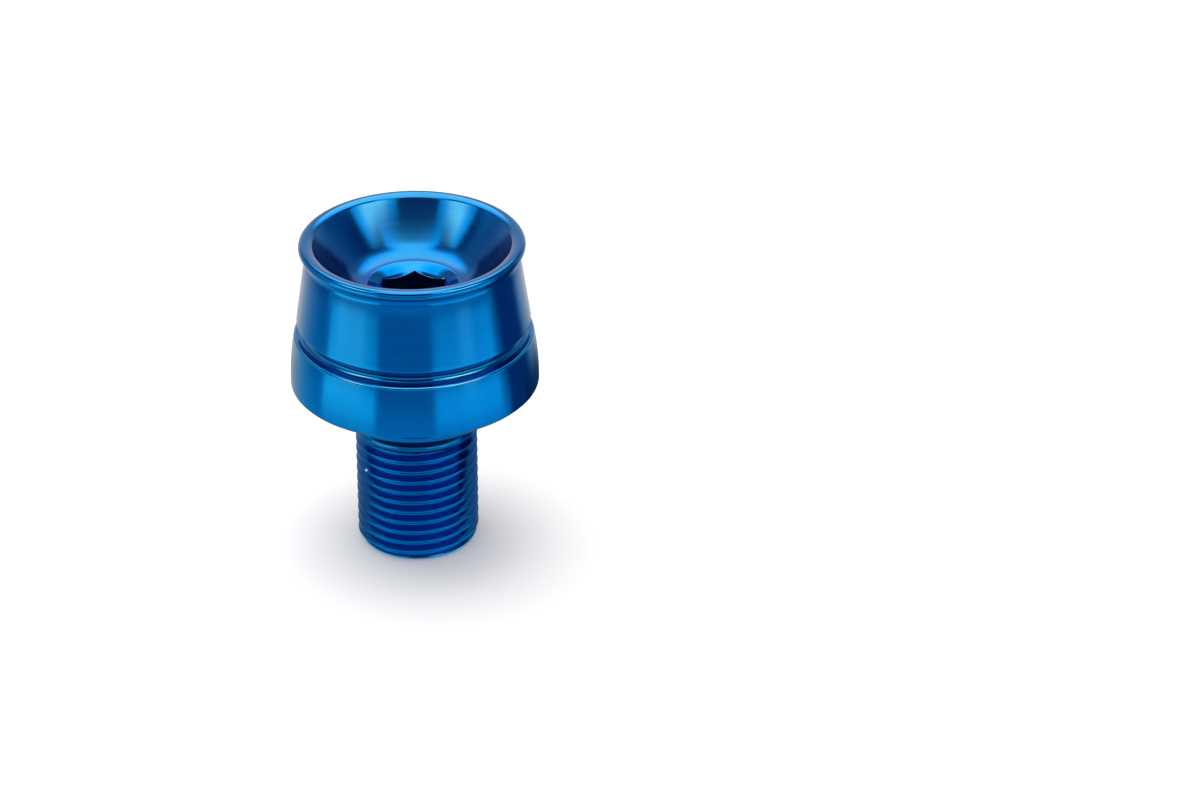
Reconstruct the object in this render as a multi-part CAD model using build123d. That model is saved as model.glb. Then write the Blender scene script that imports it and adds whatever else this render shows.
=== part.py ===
from build123d import *
import math
import os

# Bar end weight: one turned piece. Millimetres, +Z along the axis from the
# stud's end to the dished face, origin at the centre of the stud's end face.

# ---- stud, M16 x 1.5 (plain cylinder on the nominal diameter) ----
stud_r = 8.0             # nominal thread radius
stud_end_r = 7.2         # flat end face
end_chamfer_h = 1.0      # height of the lead-in chamfer
thread_top_z = 16.27     # end of the full cylinder
thread_edge_z = 16.42    # small edge where the relief starts
relief_r = 7.75          # smallest radius of the thread relief
relief_arc = 1.15        # round-nosed recess, lower and upper corner
relief_waist_z = 17.13

# ---- seat collar ----
collar_r = 11.5          # 23 mm across
collar_z = 20.0          # seat face that meets the end of the bar
collar_edge = 0.2

# ---- head ----
head_z = 23.137          # underside
head_edge = 0.28         # broken edge under the band
band_low = (16.060, 23.437)
band_mid = (15.914, 26.720)
band_top = (15.499, 29.919)
band_round = 0.40        # rounded edge between the band and the groove
band_round_beta = (9.79, 90.0)

groove_low = (14.836, 31.111)  # groove between the band and the wall: wide lower curve
groove_low_r = 0.86
groove_in_r = 0.36       # tighter curve at its bottom
groove_turn = 23.0       # where one curve runs into the other

wall_low = (15.045, 32.368)
wall_round = 0.35        # rounded lower edge of the wall, turning in to the groove
groove_flank = -42.57    # the straight flank between that edge and the groove's bottom
wall_beta = 8.43         # the wall leans in by this many degrees
wall_len = 6.774
shoulder_R = 18.329      # long convex arc from the wall to the waist
shoulder_beta = 13.77
waist_R = 1.205          # concave waist under the lip
waist_end_beta = -55.83

lip_R = 0.624            # outer bead of the lip
lip_top_beta = 86.0      # where the bead turns into the lip's top land
land_R = 2.0             # slightly crowned land, sloping down to the dish
land_end_beta = 121.0

# ---- dished face ----
dish_fillet = 4.228      # round corner between the dish's wall and its floor
dish_wall = (45.0, 55.0) # slope of the hollowed wall at the corner and at the lip, degrees
dish_wall_R = 34.14
disc_r = 5.845           # edge of the countersink
disc_z = 37.09           # level of the dish's floor
disc_land = 0.08         # flat ring outside the countersink

# ---- socket and bore ----
hex_af = 8.0             # across flats
hex_bottom_z = 29.3
sink_angle = 30.0        # countersink, below the horizontal
pilot_r = 3.95           # drilled before the hexagon was broached
pilot_z = 28.2
step_z = 27.7
bore_r = 3.25
bore_full_z = 12.0       # end of the full bore, then a 118 degree drill point


def on(c, R, beta):
    """Point of a circle at an angle above the horizontal, as (radius, z)."""
    b = math.radians(beta)
    return (c[0] + R * math.cos(b), c[1] + R * math.sin(b))


def inside(c, R, beta):
    """Point of a concave arc whose surface faces beta above the horizontal."""
    b = math.radians(beta)
    return (c[0] - R * math.cos(b), c[1] - R * math.sin(b))


# outer outline, from the middle of the stud's end up to the band
e0 = (stud_end_r, 0.0)
e1 = (stud_r, end_chamfer_h)
e2 = (stud_r, thread_top_z)
relief_c = (relief_r + relief_arc, relief_waist_z)
a3 = math.degrees(math.asin((relief_waist_z - thread_edge_z) / relief_arc))
e3 = inside(relief_c, relief_arc, a3)
e4m = inside(relief_c, relief_arc, a3 / 2)
e4 = (relief_r, relief_waist_z)
upper_c = (relief_r + relief_arc, collar_z - relief_arc)
e5 = (relief_r, collar_z - relief_arc)
e6m = inside(upper_c, relief_arc, -45)
e6 = (relief_r + relief_arc, collar_z)
e7 = (collar_r - collar_edge, collar_z)
e8 = (collar_r, collar_z + collar_edge)
e9 = (collar_r, head_z)
e10 = (band_low[0] - head_edge, head_z)

# rounded upper edge of the band
edge_c = inside(band_top, band_round, band_round_beta[0])
b_mid = on(edge_c, band_round, sum(band_round_beta) / 2)
b_end = on(edge_c, band_round, band_round_beta[1])
g0 = on(groove_low, groove_low_r, -90)
g0m = inside(groove_low, groove_low_r, (90 + groove_turn) / 2)
g_turn = inside(groove_low, groove_low_r, groove_turn)
groove_in = on(g_turn, groove_in_r, groove_turn)
g_mid = inside(groove_in, groove_in_r, (groove_turn + groove_flank) / 2)
g1 = inside(groove_in, groove_in_r, groove_flank)
wall_round_c = inside(wall_low, wall_round, wall_beta)
g2 = on(wall_round_c, wall_round, groove_flank)
w_mid = on(wall_round_c, wall_round, (groove_flank + wall_beta) / 2)

# wall, shoulder, waist and lip: a chain of tangent arcs
wb = math.radians(wall_beta)
w1 = (wall_low[0] - wall_len * math.sin(wb), wall_low[1] + wall_len * math.cos(wb))
shoulder_c = inside(w1, shoulder_R, wall_beta)
s_mid = on(shoulder_c, shoulder_R, (wall_beta + shoulder_beta) / 2)
s_end = on(shoulder_c, shoulder_R, shoulder_beta)
waist_c = on(s_end, waist_R, shoulder_beta)
f_mid = inside(waist_c, waist_R, (shoulder_beta + waist_end_beta) / 2)
f_end = inside(waist_c, waist_R, waist_end_beta)
lip_c = inside(f_end, lip_R, waist_end_beta)
l_mid = on(lip_c, lip_R, (waist_end_beta + lip_top_beta) / 2)
l_end = on(lip_c, lip_R, lip_top_beta)
land_c = inside(l_end, land_R, lip_top_beta)
c_mid = on(land_c, land_R, (lip_top_beta + land_end_beta) / 2)
in_edge = on(land_c, land_R, land_end_beta)

# dish: slightly hollow wall, round corner, flat ring, countersink
floor_c = (disc_r + disc_land, disc_z + dish_fillet)
d1 = on(floor_c, dish_fillet, dish_wall[0] - 90)
dm = on(floor_c, dish_fillet, dish_wall[0] / 2 - 90)
wall_c = inside(d1, dish_wall_R, dish_wall[0] - 90)
d0 = on(wall_c, dish_wall_R, sum(dish_wall) / 2 - 90)
d2 = (floor_c[0], disc_z)
d3 = (disc_r, disc_z)
sink_z = disc_z - (disc_r - pilot_r) * math.tan(math.radians(sink_angle))
k1 = (pilot_r, sink_z)
k2 = (pilot_r, pilot_z)
k3 = (bore_r, step_z)
k4 = (bore_r, bore_full_z)
k5 = (0.0, bore_full_z - bore_r / math.tan(math.radians(59)))

with BuildPart() as weight:
    with BuildSketch(Plane.XZ):
        with BuildLine():
            Polyline((0, 0), e0, e1, e2, e3)
            ThreePointArc(e3, e4m, e4)
            Line(e4, e5)
            ThreePointArc(e5, e6m, e6)
            Polyline(e6, e7, e8, e9, e10, band_low)
            ThreePointArc(band_low, band_mid, band_top)
            ThreePointArc(band_top, b_mid, b_end)
            Line(b_end, g0)
            ThreePointArc(g0, g0m, g_turn)
            ThreePointArc(g_turn, g_mid, g1)
            Line(g1, g2)
            ThreePointArc(g2, w_mid, wall_low)
            Line(wall_low, w1)
            ThreePointArc(w1, s_mid, s_end)
            ThreePointArc(s_end, f_mid, f_end)
            ThreePointArc(f_end, l_mid, l_end)
            ThreePointArc(l_end, c_mid, in_edge)
            ThreePointArc(in_edge, d0, d1)
            ThreePointArc(d1, dm, d2)
            Polyline(d2, d3, k1, k2, k3, k4, k5, (0, 0))
        make_face()
    revolve(axis=Axis.Z)
    # broached hexagon, one corner towards +Y
    with BuildSketch(Plane.XY.offset(hex_bottom_z)):
        RegularPolygon(radius=hex_af / math.sqrt(3), side_count=6, rotation=90)
    extrude(amount=disc_z + 1.0 - hex_bottom_z, mode=Mode.SUBTRACT)

weight.part.label = "bar_end_weight"
os.makedirs("parts", exist_ok=True)
export_step(weight.part, "parts/bar_end_weight.step")

box = weight.part.bounding_box()
print("size", box.min, box.max, "volume", round(weight.part.volume, 1),
      "centre", weight.part.center(CenterOf.MASS), "in_edge", in_edge,
      "waist", waist_c[0] - waist_R, waist_c[1], "lip out", lip_c[0] + lip_R,
      "dish wall angle",
      round(math.degrees(math.atan2(in_edge[1] - d1[1], in_edge[0] - d1[0])), 2),
      "groove", g0, g1, g2, "wall arc ends at", on(wall_c, dish_wall_R, dish_wall[1] - 90))
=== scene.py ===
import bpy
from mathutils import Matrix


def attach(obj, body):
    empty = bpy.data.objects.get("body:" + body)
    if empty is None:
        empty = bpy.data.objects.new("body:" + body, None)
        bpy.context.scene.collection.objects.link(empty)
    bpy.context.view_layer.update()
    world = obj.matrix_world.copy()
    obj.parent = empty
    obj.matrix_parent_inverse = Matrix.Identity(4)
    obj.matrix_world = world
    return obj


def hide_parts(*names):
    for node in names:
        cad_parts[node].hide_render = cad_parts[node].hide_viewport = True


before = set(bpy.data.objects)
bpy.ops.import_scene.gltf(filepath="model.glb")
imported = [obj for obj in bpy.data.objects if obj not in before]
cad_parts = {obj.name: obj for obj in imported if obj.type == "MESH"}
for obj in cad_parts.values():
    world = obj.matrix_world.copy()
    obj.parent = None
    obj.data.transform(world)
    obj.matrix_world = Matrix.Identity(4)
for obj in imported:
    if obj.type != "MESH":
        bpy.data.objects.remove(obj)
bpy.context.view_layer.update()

import math

import bpy
from mathutils import Matrix, Vector

scene = bpy.context.scene
MM = 0.001

# ---------------------------------------------------------------- outline, in millimetres
# The same turned outline as the CAD part: +Z along the axis, stud's end at z = 0.
stud_end_r, end_chamfer_h = 7.2, 1.0
thread_top_z, thread_edge_z = 16.27, 16.42
relief_r, relief_arc, relief_waist_z = 7.75, 1.15, 17.13
collar_r, collar_z, collar_edge = 11.5, 20.0, 0.2
head_z, head_edge = 23.137, 0.28
band_low, band_mid, band_top = (16.060, 23.437), (15.914, 26.720), (15.499, 29.919)
band_round, band_round_beta = 0.40, (9.79, 90.0)
groove_low, groove_low_r, groove_in_r, groove_turn, groove_flank = (14.836, 31.111), 0.86, 0.36, 23.0, -42.57
wall_low, wall_round, wall_beta, wall_len = (15.045, 32.368), 0.35, 8.43, 6.774
shoulder_R, shoulder_beta = 18.329, 13.77
waist_R, waist_end_beta = 1.205, -55.83
lip_R, lip_top_beta, land_R, land_end_beta = 0.624, 86.0, 2.0, 121.0
dish_fillet, dish_wall_R, dish_wall, disc_r, disc_z, disc_land = 4.228, 34.14, (45.0, 55.0), 5.845, 37.09, 0.08
hex_af, hex_bottom_z, sink_angle = 8.0, 29.3, 30.0
pilot_r, pilot_z, step_z, bore_r, bore_full_z = 3.95, 28.2, 27.7, 3.25, 12.0
N = 240                      # columns round the axis, 40 to each flat of the hexagon
TAU = 2 * math.pi


def on(c, R, beta):
    b = math.radians(beta)
    return (c[0] + R * math.cos(b), c[1] + R * math.sin(b))


def inside(c, R, beta):
    b = math.radians(beta)
    return (c[0] - R * math.cos(b), c[1] - R * math.sin(b))


def arc(f, c, R, b0, b1, step):
    n = max(1, int(math.ceil(abs(b1 - b0) / step)))
    return [f(c, R, b0 + (b1 - b0) * i / n) for i in range(n + 1)]


def line(p, q, n):
    return [(p[0] + (q[0] - p[0]) * i / n, p[1] + (q[1] - p[1]) * i / n) for i in range(n + 1)]


def through(p, q, s, n):
    """Arc through three points, from p to s."""
    (ax, ay), (bx, by), (cx, cy) = p, q, s
    d = 2 * (ax * (by - cy) + bx * (cy - ay) + cx * (ay - by))
    ux = ((ax * ax + ay * ay) * (by - cy) + (bx * bx + by * by) * (cy - ay) + (cx * cx + cy * cy) * (ay - by)) / d
    uy = ((ax * ax + ay * ay) * (cx - bx) + (bx * bx + by * by) * (ax - cx) + (cx * cx + cy * cy) * (bx - ax)) / d
    R = math.hypot(ax - ux, ay - uy)
    a0, am, a1 = (math.atan2(y - uy, x - ux) for x, y in (p, q, s))
    if (am - a0) % TAU < (a1 - a0) % TAU:
        sweep = (a1 - a0) % TAU
    else:
        sweep = -((a0 - a1) % TAU)
    return [(ux + R * math.cos(a0 + sweep * i / n), uy + R * math.sin(a0 + sweep * i / n)) for i in range(n + 1)]


# material numbers
TURNED, BRIGHT, THREAD, SOCKET_SHADE, MIRROR_HIGHLIT, EDGE_LINE_PAINTED, CREST_HIGHLIT, NECK_SHADE, RELIEF_SHADE = 0, 1, 2, 3, 4, 5, 6, 7, 8

relief_c = (relief_r + relief_arc, relief_waist_z)
a3 = math.degrees(math.asin((relief_waist_z - thread_edge_z) / relief_arc))
upper_c = (relief_r + relief_arc, collar_z - relief_arc)
ring_top_r = inside(relief_c, relief_arc, a3)[0]
edge_c = inside(band_top, band_round, band_round_beta[0])
b_end = on(edge_c, band_round, band_round_beta[1])
wall_round_c = inside(wall_low, wall_round, wall_beta)
wb = math.radians(wall_beta)
w1 = (wall_low[0] - wall_len * math.sin(wb), wall_low[1] + wall_len * math.cos(wb))
shoulder_c = inside(w1, shoulder_R, wall_beta)
s_end = on(shoulder_c, shoulder_R, shoulder_beta)
waist_c = on(s_end, waist_R, shoulder_beta)
f_end = inside(waist_c, waist_R, waist_end_beta)
lip_c = inside(f_end, lip_R, waist_end_beta)
l_end = on(lip_c, lip_R, lip_top_beta)
land_c = inside(l_end, land_R, lip_top_beta)
in_edge = on(land_c, land_R, land_end_beta)
floor_c = (disc_r + disc_land, disc_z + dish_fillet)
d1 = on(floor_c, dish_fillet, dish_wall[0] - 90)
wall_c = inside(d1, dish_wall_R, dish_wall[0] - 90)
d2 = (floor_c[0], disc_z)
d3 = (disc_r, disc_z)


def rounded(p, q, s, r, n=3):
    """Breaks the corner q of the outline p-q-s with n + 1 points, about r back on each side."""
    def back(a):
        L = math.hypot(a[0] - q[0], a[1] - q[1])
        return (q[0] + (a[0] - q[0]) * r / L, q[1] + (a[1] - q[1]) * r / L)
    a, b = back(p), back(s)
    return [((1 - t) ** 2 * a[0] + 2 * t * (1 - t) * q[0] + t * t * b[0],
             (1 - t) ** 2 * a[1] + 2 * t * (1 - t) * q[1] + t * t * b[1]) for t in (i / n for i in range(n + 1))]


g_turn = inside(groove_low, groove_low_r, groove_turn)
groove_in = on(g_turn, groove_in_r, groove_turn)
groove = line(b_end, on(groove_low, groove_low_r, -90), 2) + arc(inside, groove_low, groove_low_r, 90, groove_turn, 5)[1:]
groove += arc(inside, groove_in, groove_in_r, groove_turn, groove_flank, 8)[1:]
flank = line(groove[-1], on(wall_round_c, wall_round, groove_flank), 2)
wall_edge = arc(on, wall_round_c, wall_round, groove_flank, wall_beta, 8)
seat_edge = rounded((collar_r - 1, collar_z), (collar_r, collar_z), (collar_r, collar_z + 1), collar_edge, 3)
under_edge = line((band_low[0] - head_edge, head_z), (band_low[0] - 0.004, band_low[1] - 0.004), 2)
band = through(band_low, band_mid, band_top, 14)
dish_edge = rounded(on(land_c, land_R, 110), in_edge, on(wall_c, dish_wall_R, 52 - 90), 0.12, 3)
disc_edge = rounded((d2[0], disc_z), d3, (disc_r - 1, disc_z - math.tan(math.radians(sink_angle))), 0.07, 2)

segments = [
    # painted shade: the relief arc under the head uses a darker copy of the anodised colour
    (RELIEF_SHADE, arc(inside, relief_c, relief_arc, a3, 0, 6)),
    # painted shade: the neck under the collar uses a near-black copy of the anodised colour
    (NECK_SHADE, line((relief_r, relief_waist_z), (relief_r, collar_z - relief_arc), 2)),
    (NECK_SHADE, arc(inside, upper_c, relief_arc, 0, -90, 7)),
    (TURNED, line((relief_r + relief_arc, collar_z), seat_edge[0], 3)),
    (BRIGHT, seat_edge),
    (TURNED, line(seat_edge[-1], (collar_r, head_z), 5)),
    (TURNED, line((collar_r, head_z), under_edge[0], 5)),
    # painted edge line: the head's under edge uses a greyer copy of the anodised colour
    (EDGE_LINE_PAINTED, under_edge),
    (TURNED, [under_edge[-1]] + band[1:]),
    # painted highlight: the band's rounded top edge uses a lighter copy of the anodised colour
    (CREST_HIGHLIT, arc(on, edge_c, band_round, *band_round_beta, 8)),
    # the groove has a smoother finish and a lighter copy of the anodised colour, a painted highlight
    (MIRROR_HIGHLIT, groove),
    (MIRROR_HIGHLIT, flank),
    (BRIGHT, wall_edge),
    (TURNED, line(wall_low, w1, 14)),
    (TURNED, arc(on, shoulder_c, shoulder_R, wall_beta, shoulder_beta, 0.8)),
    (TURNED, arc(inside, waist_c, waist_R, shoulder_beta, waist_end_beta, 5)),
    (BRIGHT, arc(on, lip_c, lip_R - 0.005, waist_end_beta, lip_top_beta, 9)),
    (BRIGHT, arc(on, land_c, land_R - 0.005, lip_top_beta, 118, 5)),
    (BRIGHT, dish_edge),
    (TURNED, [dish_edge[-1]] + arc(on, wall_c, dish_wall_R, dish_wall[1] - 90.3, dish_wall[0] - 90, 1.0)),
    (TURNED, arc(on, floor_c, dish_fillet, dish_wall[0] - 90, -90, 4)),
    (BRIGHT, disc_edge),
]

rows = []                    # (r, z, material of the strip below this row)
for mat, pts in segments:
    for p in pts:
        if rows and math.hypot(p[0] - rows[-1][0], p[1] - rows[-1][1]) < 0.004:
            continue
        rows.append((p[0], p[1], mat))

# ---------------------------------------------------------------- mesh
verts, faces, face_mat = [], [], []


def add_vert(r, th, z):
    verts.append((r * math.cos(th) * MM, r * math.sin(th) * MM, z * MM))
    return len(verts) - 1


def add_face(ids, mat):
    out = []
    for v in ids:
        if not out or (v != out[-1]):
            out.append(v)
    if len(out) > 1 and out[0] == out[-1]:
        out.pop()
    if len(set(out)) < 3:
        return
    faces.append(out)
    face_mat.append(mat)


def ring(r, z):
    return [add_vert(r, TAU * j / N, z) for j in range(N)]


def strip(a, b, mat):
    """Quads between two rings; a is the earlier one on the way up the outside."""
    for j in range(N):
        k = (j + 1) % N
        add_face((a[j], a[k], b[k], b[j]), mat)


# thread: M16 x 1.5, right-hand, as one helical sheet cut by the end chamfer and the relief
pitch = 1.5
crest_r, root_r = 7.93, 7.08
crest_at = 15.03             # height of a crest at this azimuth
crest_az = math.radians(-86.99)
profile = [(-0.75, 0.0), (-0.64, 0.015), (-0.565, 0.07), (-0.44, 0.27), (-0.28, 0.56), (-0.165, 0.775), (-0.115, 0.85),
           (-0.045, 0.875), (0.045, 0.875), (0.115, 0.85), (0.165, 0.775), (0.28, 0.56), (0.44, 0.27), (0.565, 0.07), (0.64, 0.015)]
K = len(profile)
depth = crest_r - root_r


def envelope(z):
    if z < end_chamfer_h:
        return stud_end_r + (8.0 - stud_end_r) * z / end_chamfer_h
    if z > thread_top_z:
        return 7.95 + (ring_top_r - 7.95) * (z - thread_top_z) / (thread_edge_z - thread_top_z)
    return 7.95


def thread_r(height, z):
    """height is the thread's own, 0 at the root and 0.875 at the crest."""
    fade = min(1.0, max(0.0, (thread_edge_z - 0.04 - z) / 0.42))
    fade = fade * fade * (3 - 2 * fade)
    r = root_r + depth * height / 0.875
    r = crest_r + (r - crest_r) * fade
    return min(r, envelope(z))


def height_at(phase):
    """Linear reading of the profile, phase in millimetres from a crest."""
    p = (phase + 0.75) % pitch - 0.75
    pts = profile + [(0.75, 0.0)]
    for (a, ha), (b, hb) in zip(pts[:-1], pts[1:]):
        if a <= p <= b:
            return ha + (hb - ha) * (p - a) / (b - a)
    return 0.0


def crest_height(th):
    return crest_at + pitch * ((th - crest_az) / TAU)


low_ring = []
top_ring = []
for j in range(N):
    th = TAU * j / N
    low_ring.append(add_vert(min(stud_end_r, thread_r(height_at(0.0 - crest_height(th)), 0.0)), th, 0.0))
for j in range(N):
    th = TAU * j / N
    top_ring.append(add_vert(ring_top_r, th, thread_edge_z))

grid = {}
base_turn = -14


def thread_vert(i, j):
    if j == N:
        return thread_vert(i + K, 0)
    key = (i, j)
    if key in grid:
        return grid[key]
    turn, k = divmod(i, K)
    phase, height = profile[k]
    z = crest_at + pitch * (turn + base_turn) + phase + pitch * ((TAU * j / N - crest_az) / TAU)
    if z <= 0.03:
        v = low_ring[j]
    elif z >= thread_edge_z - 0.03:
        v = top_ring[j]
    else:
        v = add_vert(thread_r(height, z), TAU * j / N, z)
    grid[key] = v
    return v


for i in range(0, 17 * K):
    for j in range(N):
        quad = (thread_vert(i, j), thread_vert(i, j + 1), thread_vert(i + 1, j + 1), thread_vert(i + 1, j))
        # painted edge line: the stud's end ring uses the greyer edge copy of the anodised colour
        add_face(quad, EDGE_LINE_PAINTED if max(verts[v][2] for v in quad) < 0.00022 else THREAD)

# end face
inner = low_ring
for r in (6.6, 4.4, 2.2):
    nxt = ring(r, 0.0)
    strip(nxt, inner, TURNED)
    inner = nxt
centre = add_vert(0, 0, 0)
for j in range(N):
    add_face((centre, inner[(j + 1) % N], inner[j]), TURNED)

# outside, lip and dish
last = top_ring
for r, z, mat in rows[1:]:
    nxt = ring(r, z)
    strip(last, nxt, mat)
    last = nxt

# countersink down to the hexagon's mouth, with the hexagon's corners at +Y and every 60 degrees


def hex_radius(th):
    a = (math.degrees(th) - 90) % 60 - 30
    return hex_af / 2 / math.cos(math.radians(a))


sink_slope = math.tan(math.radians(sink_angle))


def sink_z(r):
    return disc_z - (disc_r - r) * sink_slope


def hex_ring(grow, z=None):
    out = []
    for j in range(N):
        th = TAU * j / N
        r = hex_radius(th) + grow
        out.append(add_vert(r, th, sink_z(r) if z is None else z))
    return out


start_r = rows[-1][0]
for t in (0.35, 0.7, 0.94):
    nxt = []
    for j in range(N):
        th = TAU * j / N
        r = start_r + (hex_radius(th) + 0.02 - start_r) * t / 0.94
        nxt.append(add_vert(r, th, sink_z(r)))
    strip(last, nxt, BRIGHT)
    last = nxt
# broken edge of the socket's mouth
nxt = []
for j in range(N):
    th = TAU * j / N
    r = hex_radius(th)
    nxt.append(add_vert(r, th, sink_z(r + 0.02) - 0.030))
strip(last, nxt, BRIGHT)
last = nxt
# painted shade: the socket and bore below use a darker copy of the anodised colour
for z in (34.6, 32.8, 31.0, hex_bottom_z + 0.06):
    nxt = hex_ring(0.0, z)
    strip(last, nxt, SOCKET_SHADE)
    last = nxt
nxt = hex_ring(-0.045, hex_bottom_z)
strip(last, nxt, SOCKET_SHADE)
last = nxt
for r, z, mat in ((pilot_r, hex_bottom_z - 0.02, SOCKET_SHADE), (pilot_r, pilot_z, SOCKET_SHADE), (bore_r + 0.05, step_z + 0.04, SOCKET_SHADE),
                  (bore_r, step_z - 0.03, SOCKET_SHADE), (bore_r, 22.0, SOCKET_SHADE), (bore_r, 17.0, SOCKET_SHADE), (bore_r, bore_full_z, SOCKET_SHADE),
                  (bore_r / 2, bore_full_z - bore_r / 2 / math.tan(math.radians(59)), SOCKET_SHADE)):
    nxt = ring(r, z)
    strip(last, nxt, mat)
    last = nxt
tip = add_vert(0, 0, bore_full_z - bore_r / math.tan(math.radians(59)))
for j in range(N):
    add_face((last[j], last[(j + 1) % N], tip), SOCKET_SHADE)

mesh = bpy.data.meshes.new("bar_end_weight_turned")
mesh.from_pydata(verts, [], faces)
mesh.polygons.foreach_set("material_index", face_mat)
mesh.validate()
mesh.update()
piece = bpy.data.objects.new("bar_end_weight_turned", mesh)
scene.collection.objects.link(piece)


# ---------------------------------------------------------------- materials
class Nodes:
    """Short names for building a node tree."""

    def __init__(self, tree):
        self.t = tree
        tree.nodes.clear()

    def new(self, kind, inputs=None, **props):
        n = self.t.nodes.new(kind)
        for k, v in props.items():
            setattr(n, k, v)
        for k, v in (inputs or {}).items():
            self.put(n.inputs[k], v)
        return n

    def put(self, socket, v):
        if isinstance(v, bpy.types.NodeSocket):
            self.t.links.new(v, socket)
        else:
            socket.default_value = v

    def math(self, op, a, b=0.0, c=0.0, clamp=False):
        n = self.new("ShaderNodeMath", operation=op, use_clamp=clamp)
        for s, v in zip(n.inputs, (a, b, c)):
            self.put(s, v)
        return n.outputs[0]

    def mix(self, fac, a, b, kind="MIX"):
        n = self.new("ShaderNodeMix", data_type="RGBA", blend_type=kind, clamp_factor=True)
        self.put(n.inputs[0], fac)
        self.put(n.inputs[6], a)
        self.put(n.inputs[7], b)
        return n.outputs[2]

    def span(self, v, a, b, lo=0.0, hi=1.0, smooth=True):
        n = self.new("ShaderNodeMapRange", interpolation_type="SMOOTHSTEP" if smooth else "LINEAR", clamp=True)
        for s, x in zip(n.inputs[:5], (v, a, b, lo, hi)):
            self.put(s, x)
        return n.outputs[0]

    def window(self, v, a, b, c, d):
        """0 below a, 1 from b to c, 0 above d."""
        return self.math("MULTIPLY", self.span(v, a, b), self.span(v, c, d, 1.0, 0.0))




def anodised(name, base, roughness, aniso, marks, bump, wear, nick_glint=None):
    """Blue anodised aluminium. marks: spacing of the turning marks per millimetre of outline."""
    m = bpy.data.materials.new(name)
    m.use_nodes = True
    n = Nodes(m.node_tree)
    out = n.new("ShaderNodeOutputMaterial")
    co = n.new("ShaderNodeTexCoord").outputs["Object"]
    sep = n.new("ShaderNodeSeparateXYZ", {0: co})
    x, y, z = (sep.outputs[i] for i in range(3))
    r = n.math("SQRT", n.math("ADD", n.math("MULTIPLY", x, x), n.math("MULTIPLY", y, y)))
    # turning marks: the same all the way round, fine along the outline
    line_co = n.new("ShaderNodeCombineXYZ", {0: n.math("MULTIPLY", r, 1000.0 * marks), 1: n.math("MULTIPLY", z, 1000.0 * marks), 2: 0.0}).outputs[0]
    fine = n.new("ShaderNodeTexNoise", {"Vector": line_co, "Scale": 1.0, "Detail": 3.0, "Roughness": 0.65}).outputs["Fac"]
    wide_co = n.new("ShaderNodeCombineXYZ", {0: n.math("MULTIPLY", r, 900.0), 1: n.math("MULTIPLY", z, 900.0), 2: 3.7}).outputs[0]
    wide = n.new("ShaderNodeTexNoise", {"Vector": wide_co, "Scale": 1.0, "Detail": 2.0}).outputs["Fac"]
    # the anodic colour drifts a little over the piece
    cloud = n.new("ShaderNodeTexNoise", {"Vector": co, "Scale": 95.0, "Detail": 3.0, "Roughness": 0.55}).outputs["Fac"]
    speck = n.new("ShaderNodeTexNoise", {"Vector": co, "Scale": 5200.0, "Detail": 2.0, "Roughness": 0.5}).outputs["Fac"]
    def shade(k):
        return tuple(min(1.0, c * k) for c in base) + (1,)

    colour = n.mix(n.span(cloud, 0.35, 0.65), shade(0.95), shade(1.06))
    colour = n.mix(n.math("MULTIPLY", n.span(fine, 0.40, 0.72), 0.22), colour, shade(1.35))
    colour = n.mix(n.math("MULTIPLY", n.span(wide, 0.52, 0.75), 0.14), colour, shade(0.72))
    if wear:
        # tiny rubs where the anodic film is thin on the sharp edges
        geo = n.new("ShaderNodeNewGeometry").outputs["Pointiness"]
        edge = n.span(geo, 0.56, 0.66)
        spots = n.new("ShaderNodeTexNoise", {"Vector": co, "Scale": 900.0, "Detail": 4.0, "Roughness": 0.6}).outputs["Fac"]
        rub = n.math("MULTIPLY", n.math("MULTIPLY", edge, n.span(spots, 0.60, 0.72)), wear, clamp=True)
        colour = n.mix(rub, colour, (0.10, 0.26, 0.52, 1))
    # a nick through the film: a white bare-metal spot, which also paints a glint
    if nick_glint:
        away_from = n.new("ShaderNodeVectorMath", {0: co, 1: nick_glint[0]}, operation="DISTANCE").outputs["Value"]
        colour = n.mix(n.span(away_from, nick_glint[1] * 0.6, nick_glint[1], 1.0, 0.0), colour, (0.90, 0.92, 0.95, 1))
    rough = n.math("ADD", n.span(wide, 0.2, 0.8, roughness * 0.93, roughness * 1.07), n.span(fine, 0.3, 0.7, -0.015, 0.015))
    h = n.math("ADD", n.math("MULTIPLY", fine, 1.0), n.math("MULTIPLY", speck, 0.10))
    bumped = n.new("ShaderNodeBump", {"Strength": bump, "Distance": 0.00001, "Height": h})
    b = n.new("ShaderNodeBsdfPrincipled", {"Base Color": colour, "Metallic": 1.0, "Roughness": rough, "Normal": bumped.outputs[0]})
    b.inputs["Specular Tint"].default_value = (0.85, 0.95, 1.0, 1)
    b.inputs["Anisotropic"].default_value = aniso
    b.inputs["Anisotropic Rotation"].default_value = 0.25
    tangent = n.new("ShaderNodeTangent", direction_type="RADIAL", axis="Z")
    n.put(b.inputs["Tangent"], tangent.outputs[0])
    n.put(out.inputs["Surface"], b.outputs[0])
    return m


# two tiny nicks through the film, on a thread crest and on the socket's rim, drawn as white bare-metal spots that also
# paint a glint there: place and radius in metres
nick_glints = (((-0.00646, -0.00462, 0.01193), 0.00030), ((0.00375, 0.00245, 0.03630), 0.00020))
mesh.materials.append(anodised("anodised_turned", (0.004, 0.100, 0.360), 0.195, 0.80, 4.5, 0.45, 0.0))
mesh.materials.append(anodised("anodised_bright", (0.005, 0.112, 0.374), 0.10, 0.30, 3.0, 0.08, 0.5, nick_glints[1]))
mesh.materials.append(anodised("anodised_thread", (0.004, 0.100, 0.360), 0.14, 0.45, 6.0, 0.15, 0.6, nick_glints[0]))
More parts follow.
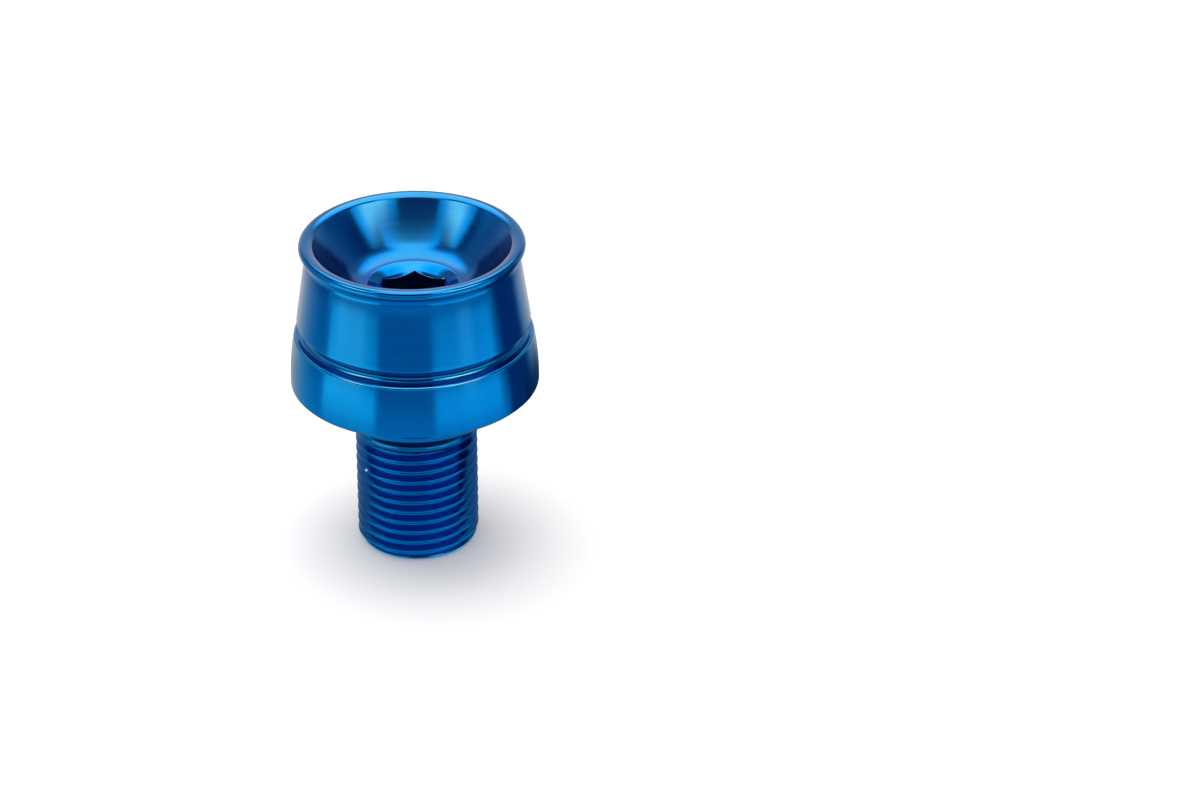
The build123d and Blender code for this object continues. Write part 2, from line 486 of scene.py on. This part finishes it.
# painted shade: a darker copy of the anodised colour down the socket and bore; the lower roughness without turning
# lobes is the broached finish
mesh.materials.append(anodised("anodised_socket_painted_shade", (0.002, 0.060, 0.240), 0.30, 0.0, 2.0, 0.20, 0.0))
# smoother groove finish, with a lighter copy of the anodised colour that paints its highlights brighter
mesh.materials.append(anodised("anodised_mirror_painted_highlight", (0.008, 0.130, 0.375), 0.09, 0.20, 3.0, 0.05, 0.3))
# painted edge line: a greyer copy of the anodised colour for sharp edges
mesh.materials.append(anodised("anodised_edge_painted_line", (0.060, 0.085, 0.190), 0.20, 0.20, 3.0, 0.05, 0.3))
# painted highlight: a lighter copy of the anodised colour for the band's rounded top edge
mesh.materials.append(anodised("anodised_crest_painted_highlight", (0.018, 0.170, 0.460), 0.09, 0.20, 3.0, 0.05, 0.3))
# painted shade: a near-black copy of the anodised colour for the neck under the collar
mesh.materials.append(anodised("anodised_neck_painted_shade", (0.002, 0.006, 0.040), 0.12, 0.20, 3.0, 0.05, 0.0))
# painted shade: a darker copy of the anodised colour for the relief arc under the head
mesh.materials.append(anodised("anodised_relief_painted_shade", (0.016, 0.080, 0.260), 0.08, 0.20, 3.0, 0.05, 0.0))
mesh.polygons.foreach_set("material_index", face_mat)
for p in mesh.polygons:
    p.use_smooth = True
mesh.set_sharp_from_angle(angle=math.radians(32))

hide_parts("bar_end_weight")
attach(piece, "root")

# ---------------------------------------------------------------- floor
R_floor, n_ring, n_col = 6.0, 24, 96
fv, ff = [(0.0, 0.0, -0.00001)], []
for i in range(1, n_ring + 1):
    rr = R_floor * (i / n_ring) ** 3
    for j in range(n_col):
        fv.append((rr * math.cos(TAU * j / n_col), rr * math.sin(TAU * j / n_col), -0.00001))
for j in range(n_col):
    ff.append((0, 1 + j, 1 + (j + 1) % n_col))
for i in range(n_ring - 1):
    a, b = 1 + i * n_col, 1 + (i + 1) * n_col
    for j in range(n_col):
        k = (j + 1) % n_col
        ff.append((a + j, b + j, b + k, a + k))
fm = bpy.data.meshes.new("studio_floor")
fm.from_pydata(fv, [], ff)
floor = bpy.data.objects.new("studio_floor", fm)
scene.collection.objects.link(floor)
m = bpy.data.materials.new("pale_floor_with_painted_reflection")
m.use_nodes = True
n = Nodes(m.node_tree)
out = n.new("ShaderNodeOutputMaterial")
co = n.new("ShaderNodeTexCoord").outputs["Object"]
dist = n.new("ShaderNodeVectorMath", {0: co}, operation="LENGTH").outputs["Value"]
path = n.new("ShaderNodeLightPath")
diff = n.new("ShaderNodeBsdfDiffuse", {"Color": (0.80, 0.80, 0.80, 1)})
# painted reflection: glossy rays see this floor as a glowing painted one, bright turquoise close by and a darker room
# further out, while camera and diffuse rays see the plain pale floor
fsep = n.new("ShaderNodeSeparateXYZ", {0: co})
faz = n.math("SUBTRACT", n.math("ARCTAN2", fsep.outputs[1], fsep.outputs[0]), math.radians(-86.99))
faz = n.math("DEGREES", n.math("WRAP", faz, math.pi, -math.pi))
faway = n.math("ABSOLUTE", faz)
near = n.span(dist, 0.060, 0.180)
painted_floor_col = n.mix(near, (0.03, 1.08, 1.06, 1), (0.02, 0.34, 0.45, 1))
left = n.window(faz, -88, -82, -37, -31)
right = n.window(faz, 13, 19, 74, 82)
out_there = n.window(dist, 0.045, 0.090, 0.135, 0.180)
painted_floor_col = n.mix(n.span(dist, 0.21, 0.60), painted_floor_col, (0.02, 1.10, 1.08, 1))
# painted reflection: bright pools of the softboxes' light out on the floor
painted_floor_col = n.mix(n.math("MULTIPLY", left, out_there), painted_floor_col, (0.7, 3.5, 2.35, 1))
painted_floor_col = n.mix(n.math("MULTIPLY", right, out_there), painted_floor_col, (0.3, 2.75, 2.15, 1))
# painted shade: behind the piece the floor reads darker close by, warm white further out
behind = n.mix(n.span(dist, 0.055, 0.080), (0.72, 0.72, 0.62, 1), (1.15, 1.0, 0.80, 1))
painted_floor_col = n.mix(n.span(faway, 98, 140), painted_floor_col, behind)
# painted reflection: dark sectors of the room to the right and behind
painted_floor_col = n.mix(n.window(faz, 82, 90, 114, 128), painted_floor_col, (0.0, 0.16, 0.31, 1))
painted_floor_col = n.mix(n.math("MULTIPLY", n.window(faz, 104, 112, 134, 150), n.span(dist, 0.064, 0.084, 1.0, 0.0)), painted_floor_col, (0.0, 0.07, 0.16, 1))
painted_floor_col = n.mix(n.math("MULTIPLY", n.window(faz, 118, 130, 168, 176), n.window(dist, 0.022, 0.040, 0.055, 0.064)), painted_floor_col, (0.0, 0.05, 0.12, 1))
# painted shadow: the floor close round the stud, at the sides and behind, reads dark
painted_floor_col = n.mix(n.math("MULTIPLY", n.span(faway, 70, 100), n.span(dist, 0.022, 0.036, 1.0, 0.0)), painted_floor_col, (0.20, 0.15, 0.12, 1))
# the floor glows only for glossy rays: a painted reflection, not a lamp
painted_reflection = n.new("ShaderNodeEmission", {"Color": painted_floor_col, "Strength": 1.0})
both = n.new("ShaderNodeMixShader", {0: path.outputs["Is Glossy Ray"], 1: diff.outputs[0], 2: painted_reflection.outputs[0]})
n.put(out.inputs["Surface"], both.outputs[0])
fm.materials.append(m)

# ---------------------------------------------------------------- studio
CAM_AZ = math.radians(-86.99)        # where the camera stands, seen from the axis


def panel(name, az0, az1, dist, z0, z1, radiance, feather, core, core_radiance, top_radiance, nx=48, nz=24):
    """A curved softbox round the axis that only reflections see. Azimuths are degrees from the camera, + to the right."""
    pv, pf = [], []
    for i in range(nz + 1):
        for j in range(nx + 1):
            a = CAM_AZ + math.radians(az0 + (az1 - az0) * j / nx)
            pv.append((dist * math.cos(a), dist * math.sin(a), z0 + (z1 - z0) * i / nz))
    for i in range(nz):
        for j in range(nx):
            a = i * (nx + 1) + j
            pf.append((a, a + nx + 1, a + nx + 2, a + 1))
    me = bpy.data.meshes.new(name)
    me.from_pydata(pv, [], pf)
    o = bpy.data.objects.new(name, me)
    scene.collection.objects.link(o)
    mt = bpy.data.materials.new(name)
    mt.use_nodes = True
    n = Nodes(mt.node_tree)
    out = n.new("ShaderNodeOutputMaterial")
    co = n.new("ShaderNodeTexCoord").outputs["Object"]
    sep = n.new("ShaderNodeSeparateXYZ", {0: co})
    az = n.math("SUBTRACT", n.math("ARCTAN2", sep.outputs[1], sep.outputs[0]), CAM_AZ)
    az = n.math("DEGREES", n.math("WRAP", az, math.pi, -math.pi))
    z = sep.outputs[2]
    body = n.math("MULTIPLY", n.window(az, az0, az0 + feather, az1 - feather, az1), n.window(z, z0, z0 + 0.02, z1 - 0.03, z1))
    body = n.math("MULTIPLY", body, n.math("SUBTRACT", 1.0, n.window(z, 0.008, 0.023, 0.112, 0.124)))
    col = n.mix(body, (0, 0, 0, 1), radiance + (1,))
    if core:
        c = n.window(az, core[0] - core[2], core[0] + core[2], core[1] - core[2], core[1] + core[2])
        c = n.math("MULTIPLY", c, body)
        col = n.mix(c, col, core_radiance + (1,))
    spot = n.math("MULTIPLY", n.window(az, az0 + 8, az0 + 20, az1 - 20, az1 - 8), n.window(z, 0.120, 0.136, 0.162, 0.180))
    high = n.mix(spot, (0.4, 3.3, 2.6, 1), top_radiance + (1,))
    col = n.mix(n.span(z, 0.100, 0.118), col, high)
    em = n.new("ShaderNodeEmission", {"Color": col, "Strength": 1.0})
    clear = n.new("ShaderNodeBsdfTransparent")
    mixed = n.new("ShaderNodeMixShader", {0: body, 1: clear.outputs[0], 2: em.outputs[0]})
    n.put(out.inputs["Surface"], mixed.outputs[0])
    me.materials.append(mt)
    o.visible_camera = o.visible_diffuse = o.visible_shadow = o.visible_transmission = o.visible_volume_scatter = False
    return o


panel("softbox_left", -91.9, -38.2, 0.130, -0.002, 0.200, (1.0, 5.0, 3.5), 3.0, (-75.8, -46.5, 4.0), (20.0, 8.0, 4.2), (36.0, 7.4, 3.2))
panel("softbox_right", 18.3, 83.5, 0.130, -0.002, 0.200, (0.5, 3.5, 2.7), 3.0, (41.6, 54.9, 5.0), (12.0, 6.6, 3.5), (40.0, 7.4, 3.2))

world = bpy.data.worlds.new("studio")
scene.world = world
world.use_nodes = True
n = Nodes(world.node_tree)
out = n.new("ShaderNodeOutputWorld")
d = n.new("ShaderNodeTexCoord").outputs["Generated"]
sep = n.new("ShaderNodeSeparateXYZ", {0: d})
az = n.math("SUBTRACT", n.math("ARCTAN2", sep.outputs[1], sep.outputs[0]), CAM_AZ)
az = n.math("DEGREES", n.math("WRAP", az, math.pi, -math.pi))
el = n.math("DEGREES", n.math("ARCSINE", sep.outputs[2]))
away = n.math("ABSOLUTE", az)                        # 0 towards the camera, 180 behind the piece
# room: deep blue-grey in front, a lighter band above the horizon, grey behind
front = n.mix(n.span(el, -12, 0), (0.02, 0.34, 0.45, 1), (0.02, 1.20, 1.15, 1))
front = n.mix(n.span(el, 12, 34), front, (0.0, 0.05, 0.15, 1))
room = n.mix(n.span(away, 95, 140), front, (0.95, 0.92, 0.80, 1))
room = n.mix(n.span(az, -126, -90, 1.0, 0.0), room, (1.25, 0.98, 0.84, 1))
right_dark = n.math("MULTIPLY", n.window(az, 84, 92, 112, 124), n.span(el, -40, 60, 1.0, 0.6))
room = n.mix(n.math("MULTIPLY", right_dark, 0.85), room, (0.0, 0.18, 0.34, 1))
back_sides = n.math("MULTIPLY", n.window(away, 100, 112, 152, 166), n.window(el, 5, 14, 48, 58))
room = n.mix(n.math("MULTIPLY", back_sides, 0.7), room, (0.3, 0.34, 0.40, 1))
sweep = n.math("MULTIPLY", n.span(away, 140, 160), n.span(el, 22, 36, 1.0, 0.0))
room = n.mix(n.math("MULTIPLY", sweep, 0.9), room, (2.0, 1.15, 0.90, 1))
# overhead softbox: a flat panel, narrow across and long from front to back
up = n.math("MAXIMUM", sep.outputs[2], 0.02)
cx, cy = math.cos(CAM_AZ), math.sin(CAM_AZ)
f_ = n.math("ADD", n.math("MULTIPLY", sep.outputs[0], cx), n.math("MULTIPLY", sep.outputs[1], cy))
r_ = n.math("SUBTRACT", n.math("MULTIPLY", sep.outputs[1], cx), n.math("MULTIPLY", sep.outputs[0], cy))
u_ = n.math("DIVIDE", r_, up)
v_ = n.math("DIVIDE", f_, up)
room = n.mix(n.span(el, 54, 64), room, (0.04, 0.32, 0.50, 1))
reach = n.math("ADD", n.math("MULTIPLY", n.math("ABSOLUTE", v_), 0.95), 0.26, clamp=True)
side = n.math("DIVIDE", n.math("ABSOLUTE", u_), n.math("MINIMUM", reach, 0.64))
over = n.math("MULTIPLY", n.span(side, 0.82, 1.18, 1.0, 0.0), n.window(v_, -1.60, -1.10, 0.44, 0.53))
over_col = n.mix(n.span(side, 0.35, 0.85), (8.0, 4.1, 2.5, 1), (0.3, 3.3, 2.9, 1))
room = n.mix(over, room, over_col)
path = n.new("ShaderNodeLightPath")
even = n.new("ShaderNodeBackground", {"Color": (1, 1, 1, 1), "Strength": 1.10})
seen = n.new("ShaderNodeBackground", {"Color": (1, 1, 1, 1), "Strength": 1.3})
glossy = n.new("ShaderNodeBackground", {"Color": room, "Strength": 1.0})
a = n.new("ShaderNodeMixShader", {0: path.outputs["Is Camera Ray"], 1: even.outputs[0], 2: seen.outputs[0]})
b = n.new("ShaderNodeMixShader", {0: path.outputs["Is Glossy Ray"], 1: a.outputs[0], 2: glossy.outputs[0]})
n.put(out.inputs["Surface"], b.outputs[0])

# soft key over and behind the piece: it lights the floor and lays the shadow towards the camera
key = bpy.data.lights.new("key", "AREA")
key.shape = "DISK"
key.size = 0.42
key.energy = 1.1
key_ob = bpy.data.objects.new("key", key)
scene.collection.objects.link(key_ob)
key_ob.location = (-0.06, 0.07, 0.40)
key_ob.rotation_euler = (Vector((0, 0, 0)) - key_ob.location).to_track_quat("-Z", "Y").to_euler()
key_ob.visible_glossy = False
key_ob.visible_camera = False

# ---------------------------------------------------------------- camera
cam = bpy.data.cameras.new("camera")
cam.sensor_fit = "HORIZONTAL"
cam.sensor_width = 36.0
cam.lens = 120.889
cam.clip_start, cam.clip_end = 0.01, 50.0
cam_ob = bpy.data.objects.new("camera", cam)
scene.collection.objects.link(cam_ob)
right = Vector((0.9999981830, 0.0009427733, 0.0016568390))
down = Vector((0.0019062888, -0.4945586452, -0.8691421705))
ahead = Vector((0.0, 0.8691437497, -0.4945595437))
at = Vector((23.92474904, -454.73257699, 278.60930038)) * MM
rot = Matrix((right, -down, -ahead)).transposed().to_4x4()
cam_ob.matrix_world = Matrix.Translation(at) @ rot
scene.camera = cam_ob
scene.view_settings.view_transform = "Standard"
scene.view_settings.look = "None"
